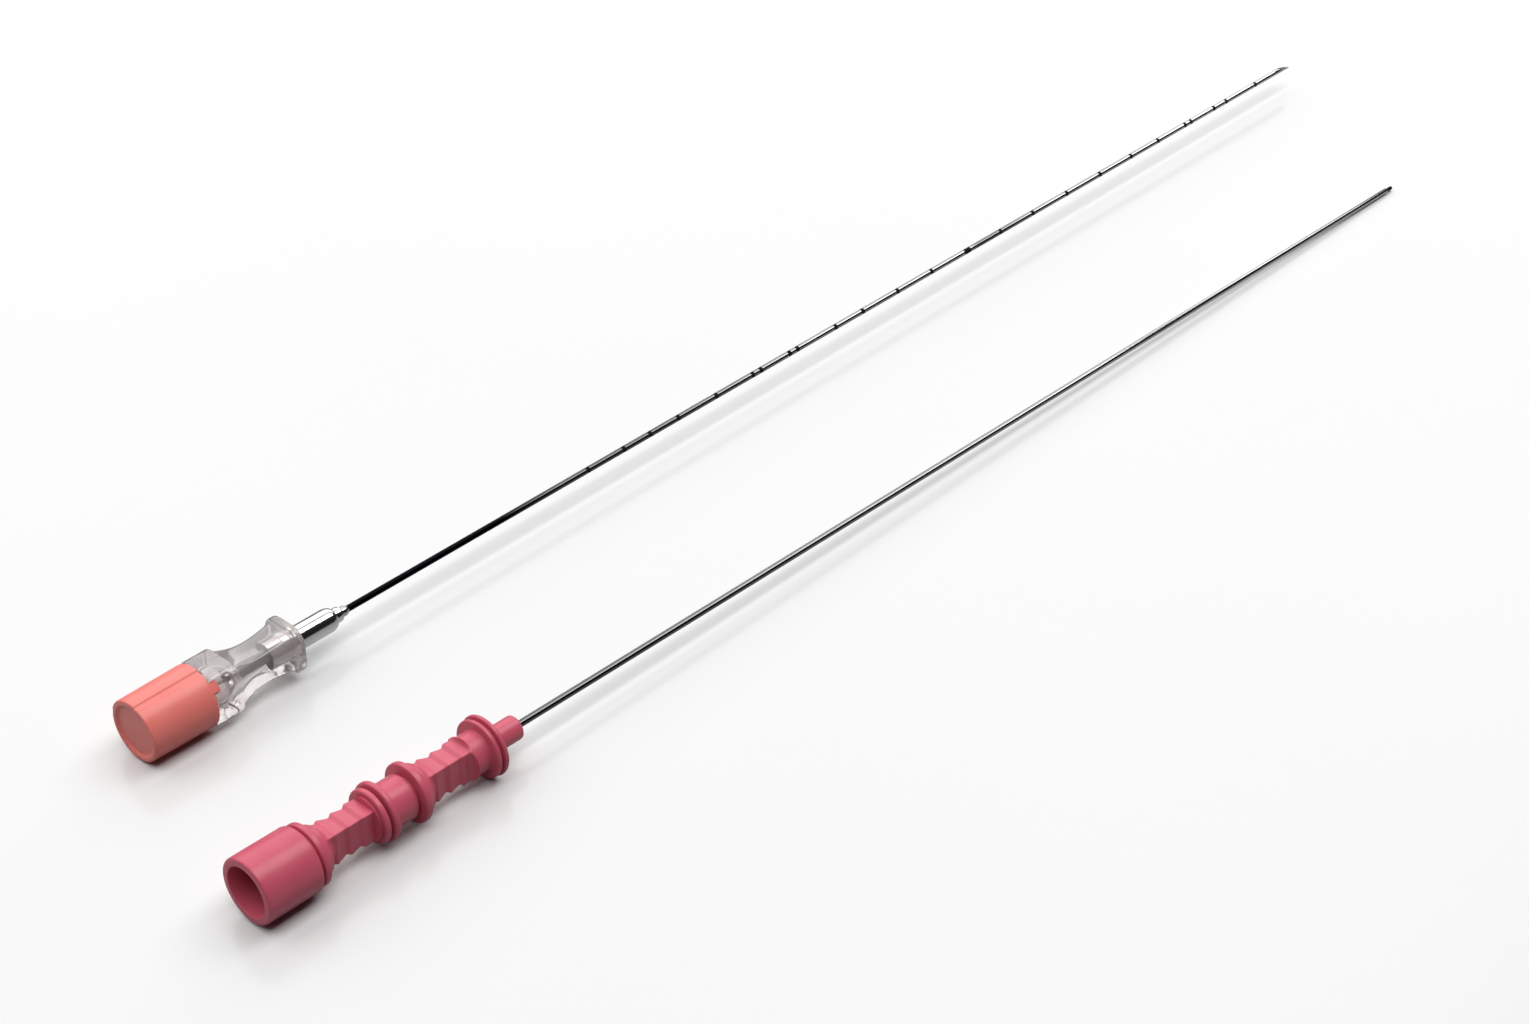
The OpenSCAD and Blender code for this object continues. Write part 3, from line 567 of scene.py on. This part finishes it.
def nose_solder(place, solder):
    """Solder bead and fillet that runs out on the cannula."""
    start = SOLDER_R - SOLDER_DROP
    outline = [(BEAD_FRONT, MARKED_R + SEAT)]
    for share in np.linspace(0, 1, SOLDER_STEPS):
        low = start if share < 0.5 else MARKED_R + 2 * SEAT
        outline.append((BEAD_FRONT * (1 - share), low + (SOLDER_R - low) * math.sin(math.pi * share)))
    outline.append((0, MARKED_R + SEAT))
    made = skin("solder_fillet", turned(outline, GLUE_SIDES), place, [solder], loop=True,
                sharp=SOLDER_SHARP)
    return put(made, "marked_needle", "solder", "nose_solder")


def glue_ring(name, node, body, place, finish, rear, front, outer, inner):
    """A short sleeve of glue."""
    rings = lathe([(rear, inner, 0), (rear, outer, FINE), (front, outer, THIN), (front, inner, 0)],
                  GLUE_SIDES)
    return put(skin(name, rings, place, [finish], loop=True), body, "clear_glue", node)


def bevelled(points):
    """Moves a ring at the tip onto the plane of the ground bevel."""
    points = points.copy()
    points[:, 0] = MARKED_REACH - BEVEL_LEN * (points[:, 2] + MARKED_R) / (2 * MARKED_R)
    return points


def mark_spans():
    """Start and end of each etched ring."""
    spans = []
    for i in range(len(MARK_STEPS) + 1):
        middle = FIRST_MARK + MARK_PITCH * sum(MARK_STEPS[:i])
        gap = SPREAD_GAP if i == SPREAD_MARK else DOUBLE_GAP if i in DOUBLE_MARKS else 0
        width = BROAD_W if i == BROAD_MARK else MARK_W
        for place in {middle - gap / 2, middle + gap / 2}:
            spans.append((place - width / 2, place + width / 2))
    return sorted(spans)


def marked_cannula(place, steel_finish, etch, ground):
    """Tube with etched marks, cut by its bevel."""
    rings = [ring(MARKED_REAR, MARKED_R, TUBE_SIDES), ring(0, MARKED_R, TUBE_SIDES)]
    bands = [PLAIN, PLAIN]
    deep = MARKED_R - MARK_DEPTH
    for start, end in mark_spans():
        rings += [ring(start, MARKED_R, TUBE_SIDES), ring(start, deep, TUBE_SIDES),
                  ring(end, deep, TUBE_SIDES), ring(end, MARKED_R, TUBE_SIDES)]
        bands += [ETCHED, ETCHED, ETCHED, PLAIN]
    rings += [ring(MARKED_REACH - BEVEL_LEN - BEVEL_LEAD, MARKED_R, TUBE_SIDES),
              bevelled(ring(0, MARKED_R, TUBE_SIDES)), bevelled(ring(0, MARKED_BORE_R, TUBE_SIDES)),
              ring(MARKED_REACH - BEVEL_LEN - BEVEL_LEAD, MARKED_BORE_R, TUBE_SIDES),
              ring(MARKED_REAR, MARKED_BORE_R, TUBE_SIDES)]
    bands += [PLAIN, GROUND_FACE, PLAIN, PLAIN, PLAIN]
    made = skin("marked_tube", rings, place, [steel_finish, etch, ground], bands, loop=True)
    return put(made, "marked_needle", "marked_steel", "marked_cannula")


def stylet_wire(place, finish):
    """Wire from the cap's end wall to the bevel."""
    tip = bevelled(ring(0, STYLET_R, TUBE_SIDES))
    rings = [pole(CAP_FLOOR - STYLET_HOLD), ring(CAP_FLOOR - STYLET_HOLD, STYLET_R, TUBE_SIDES),
             ring(MARKED_REACH - BEVEL_LEN - BEVEL_LEAD, STYLET_R, TUBE_SIDES), tip,
             tip.mean(axis=0, keepdims=True)]
    return put(skin("stylet_core", rings, place, [finish]), "stylet", "stylet_steel", "stylet_wire")


# Coaxial pair

def rib_height(share, waist):
    """Half width of a grip's face: a waisted form with ribs that fall to the front."""
    face = waisted(share, waist + REAR_SPREAD, waist, waist + FRONT_SPREAD)
    part = min(share, RIB_LAST_SHARE) * RIB_COUNT % 1
    rise = part / STEEP_SHARE if part < STEEP_SHARE else (1 - part) / (1 - STEEP_SHARE)
    return face + RIB_RISE * rise


def soft_ribs(share, waist):
    """The ribs with their edges rounded, as they leave the mould: a mean over a short stretch."""
    near = [rib_height(min(max(share + RIB_SOFT_SHARE * k / 2, 0), 1), waist) for k in range(-2, 3)]
    return sum(near) / len(near)


def grip_rings(start, scooped):
    """Rings of a ribbed four-sided grip with a round shoulder, and a scoop where its faces end."""
    made = []
    for i in range(GRIP_STEPS + 1):
        share = i / GRIP_STEPS
        along = GRIP_LEN * share
        flare = max(0, 1 - along / FLARE_LEN)
        radius = GRIP_R + (FLARE_R - GRIP_R) * flare ** 2
        half_y, half_z = soft_ribs(share, GRIP_HALF_Y), soft_ribs(share, GRIP_HALF_Z)
        near_end = max(0, (along - GRIP_LEN + SCOOP_LEN) / SCOOP_LEN) if scooped else 0
        scoop = 1 - math.sqrt(1 - min(near_end, 1) ** 2)
        half_y += (GRIP_R + SCOOP_RISE - half_y) * scoop
        half_z += (GRIP_R + SCOOP_RISE - half_z) * scoop
        points = ring(start + along, radius, flats=(half_y, half_z), power=GRIP_POWER)
        if flare > 0:
            core = min(radius, GRIP_HALF_Y + (MOUTH_R - GRIP_HALF_Y) * flare)
            size = np.hypot(points[:, 1], points[:, 2])
            grown = (size ** CORE_POWER + core ** CORE_POWER) ** (1 / CORE_POWER)
            points[:, 1:] *= (np.minimum(grown, radius) / size)[:, None]
        made.append(points)
    return made


def disc(start, radius, foot, thick=DISC_T):
    """Corners of a flange that stands on a smaller radius at its rear."""
    return [(start, foot, THIN), (start, radius, DISC_ROUND), (start + thick, radius, DISC_ROUND)]


def rear_hub(place, rose):
    """Open socket, flange, ribbed grip, meeting flange and male taper."""
    floor_r, neck_r = REAR_DISC_R - GROOVE_DEPTH, GRIP_R - GRIP_DROP
    male_end_r = MALE_R - TAPER * (MALE_END - MALE_ROOT)
    rings = lathe([(0, MOUTH_BORE_R + SOCKET_LEAD, 0), (0, MOUTH_R, BARREL_ROUND),
                   (MOUTH_LEN, MOUTH_R, BARREL_ROUND), (MOUTH_LEN, floor_r, FINE),
                   *disc(FIRST_DISC, REAR_DISC_R, floor_r), (REAR_GRIP, FLARE_R, 0)])
    rings += grip_rings(REAR_GRIP, False)
    rings += lathe([(REAR_GRIP + GRIP_LEN, GRIP_R, 0), (REAR_GRIP + GRIP_LEN + GRIP_STEP, neck_r, FINE),
                    (REAR_MEET, neck_r, THIN), (REAR_MEET, REAR_MEETING_R, FULL),
                    (REAR_END, REAR_MEETING_R, FULL), (REAR_END, BOSS_R, FINE), (MALE_ROOT, BOSS_R, SMALL),
                    (MALE_ROOT, MALE_R, 0), (MALE_END, male_end_r, SMALL), (MALE_END, INNER_R + SEAT, 0),
                    (MOUTH_LEN + WELL_LEN, INNER_R + SEAT, 0), (MOUTH_LEN + WELL_LEN, WELL_R, 0),
                    (MOUTH_LEN, WELL_R, 0), (MOUTH_DEPTH, MOUTH_BORE_R, SOFT), (0, MOUTH_BORE_R, SOFT),
                    (0, MOUTH_BORE_R + SOCKET_LEAD, 0)])[:-1]
    return put(skin("rear_hub_shell", rings, place, [rose], loop=True), "inner_set", "rose_plastic",
               "rear_hub")


def front_hub(place, rose):
    """Meeting flange, barrel, flange, ribbed grip, two end flanges and nose."""
    groove_r, end_foot = BARREL_R - GROOVE_DEPTH, END_DISC_R - GROOVE_DEPTH
    neck_r = GRIP_R - GRIP_DROP
    floor_r = FEMALE_R - TAPER * (FEMALE_FLOOR - FRONT_MEET)
    rings = lathe([(FRONT_MEET, FEMALE_R, 0), (FRONT_MEET, FRONT_MEETING_R, FULL),
                   (BARREL_REAR, FRONT_MEETING_R, FULL), (BARREL_REAR, BARREL_R, SOFT),
                   (BARREL_FRONT, BARREL_R, BARREL_ROUND), (BARREL_FRONT, groove_r, FINE),
                   *disc(FRONT_DISC, FRONT_DISC_R, groove_r), (FRONT_GRIP, FLARE_R, 0)])
    rings += grip_rings(FRONT_GRIP, True)
    rings += lathe([(NECK_REAR, GRIP_R, 0), (NECK_REAR + NECK_STEP, neck_r, SMALL), (END_DISC, neck_r, SOFT),
                    (END_DISC, END_DISC_R, DISC_ROUND), (END_DISC + END_T, END_DISC_R, DISC_ROUND),
                    (END_DISC + END_T, end_foot, FINE), *disc(LAST_DISC, LAST_DISC_R, end_foot, END_T),
                    (TIP_NOSE_REAR, TIP_NOSE_R, EDGE), (TIP_NOSE_FRONT, TIP_NOSE_R, FULL),
                    (TIP_NOSE_FRONT, TIP_WELL_R, 0), (TIP_NOSE_FRONT - TIP_WELL_DEPTH, TIP_WELL_R, 0),
                    (TIP_NOSE_FRONT - TIP_WELL_DEPTH, OUTER_R + SEAT, 0),
                    (FEMALE_FLOOR + FUNNEL_LEN, OUTER_R + SEAT, 0), (FEMALE_FLOOR, floor_r, 0),
                    (FRONT_MEET, FEMALE_R, 0)])[:-1]
    return put(skin("front_hub_shell", rings, place, [rose], loop=True), "outer_set", "rose_plastic",
               "front_hub")


def tube(name, node, body, slot, place, finish, rear, front, radius, bore):
    """A plain cannula with dressed ends."""
    rings = lathe([(rear, bore, 0), (rear, radius, TUBE_EDGE), (front, radius, TUBE_EDGE),
                   (front, bore, 0)], TUBE_SIDES, TUBE_EDGE_STEPS)
    return put(skin(name, rings, place, [finish], loop=True), body, slot, node)


# Stage

def floor():
    """Pale glossy table top, which looks lighter to the camera than it is to bounced light."""
    made = Finish("pale_table")
    seen = made.add("ShaderNodeMix", data_type="RGBA")
    made.links.new(made.add("ShaderNodeLightPath").outputs["Is Camera Ray"], seen.inputs["Factor"])
    seen.inputs["A"].default_value = (*grey(TABLE_BOUNCE), 1)
    deep, light = TABLE_TONES
    made.links.new(made.mottled(grey(deep), grey(light), TABLE_NOISE), seen.inputs["B"])
    made.into("Base Color", seen.outputs["Result"])
    made.set(roughness=TABLE_ROUGH)
    half = TABLE_HALF
    mesh = bpy.data.meshes.new("table_top")
    corners = [(-half, -half, 0), (half, -half, 0), (half, half, 0), (-half, half, 0)]
    mesh.from_pydata(corners, [], [(0, 1, 2, 3)])
    mesh.materials.append(made.material)
    top = bpy.data.objects.new("table_top", mesh)
    bpy.context.scene.collection.objects.link(top)


def softbox(name, centre, aim, width, height, power):
    """A large area light."""
    data = bpy.data.lights.new(name, "AREA")
    data.shape, data.size, data.size_y, data.energy = "RECTANGLE", width, height, power
    made = bpy.data.objects.new(name, data)
    made.location = centre
    made.rotation_euler = (Vector(aim) - Vector(centre)).to_track_quat("-Z", "Y").to_euler()
    bpy.context.scene.collection.objects.link(made)


def studio():
    """Soft light from above and behind, in a dark room whose backdrop looks pale to the camera."""
    softbox("key", *KEY_LIGHT)
    softbox("back_card", *BACK_LIGHT)
    world = bpy.data.worlds.new("room")
    world.use_nodes = True
    back = world.node_tree.nodes["Background"]
    back.inputs["Color"].default_value = (1, 1, 1, 1)
    path = world.node_tree.nodes.new("ShaderNodeLightPath")
    level = world.node_tree.nodes.new("ShaderNodeMath")
    level.operation = "MULTIPLY_ADD"
    world.node_tree.links.new(path.outputs["Is Camera Ray"], level.inputs[0])
    level.inputs[1].default_value, level.inputs[2].default_value = BACKDROP, ROOM_LIGHT
    world.node_tree.links.new(level.outputs["Value"], back.inputs["Strength"])
    bpy.context.scene.world = world
    bpy.context.scene.view_settings.view_transform = "Standard"


def camera():
    """The photograph's camera: place and turn from the two needles' perspective."""
    data = bpy.data.cameras.new("camera")
    data.sensor_width, data.lens = SENSOR_W, CAMERA_LENS
    data.clip_start, data.clip_end = CLIP
    made = bpy.data.objects.new("camera", data)
    made.location = CAMERA_PLACE
    made.rotation_euler = (math.radians(CAMERA_TILT), 0, math.radians(CAMERA_TURN))
    bpy.context.scene.collection.objects.link(made)
    bpy.context.scene.camera = made


def build():
    """The stage, the marked needle with its stylet, and the coaxial pair."""
    camera()
    studio()
    floor()
    marked, pair = marked_place(), pair_place()
    salmon = plastic("salmon_plastic", *SALMON, PLASTIC_GLOSS, PLASTIC_COAT)
    rose = plastic("rose_plastic", *ROSE, PLASTIC_GLOSS, PLASTIC_COAT)
    clear, cured = clear_plastic(), glue()
    stylet_cap(marked, salmon)
    needle_hub(marked, clear)
    ferrule(marked, steel("polished_steel", *POLISHED).material)
    nose_solder(marked, steel("solder_metal", *SOLDERED).material)
    marked_cannula(marked, marked_steel(), black_etch(), steel("ground_steel", *GROUND).material)
    stylet_wire(marked, steel("stylet_steel", *STYLET).material)
    glue_ring("plug_glue", "stylet_bond", "stylet", marked, cured,
              PLUG_FRONT - GLUE_DEPTH + SEAT, PLUG_FRONT, GLUE_R - SEAT, STYLET_R + SEAT)
    glue_ring("nose_glue", "ferrule_bond", "marked_needle", marked, cured,
              FLANGE_FRONT - RING_DEPTH + SEAT, FLANGE_FRONT, NOSE_R + RING_W - SEAT, NOSE_R + SEAT)
    rear_hub(pair, rose)
    front_hub(pair, rose)
    tube("outer_tube", "outer_cannula", "outer_set", "cannula_steel", pair,
         cannula_steel(), OUTER_REAR, OUTER_FRONT, OUTER_R, OUTER_BORE_R)
    tube("inner_tube", "inner_cannula", "inner_set", "inner_steel", pair,
         steel("inner_steel", *INNER).material, MOUTH_LEN, INNER_FRONT, INNER_R, INNER_BORE_R)
    glue_ring("socket_glue", "rear_bond", "inner_set", pair, cured,
              MOUTH_LEN, MOUTH_LEN + WELL_LEN - SEAT, WELL_R - SEAT, INNER_R + SEAT)
    glue_ring("tip_glue", "front_bond", "outer_set", pair, cured,
              TIP_NOSE_FRONT - TIP_WELL_DEPTH + SEAT, TIP_NOSE_FRONT - TIP_GLUE_SINK, TIP_WELL_R - SEAT,
              OUTER_R + SEAT)


build()
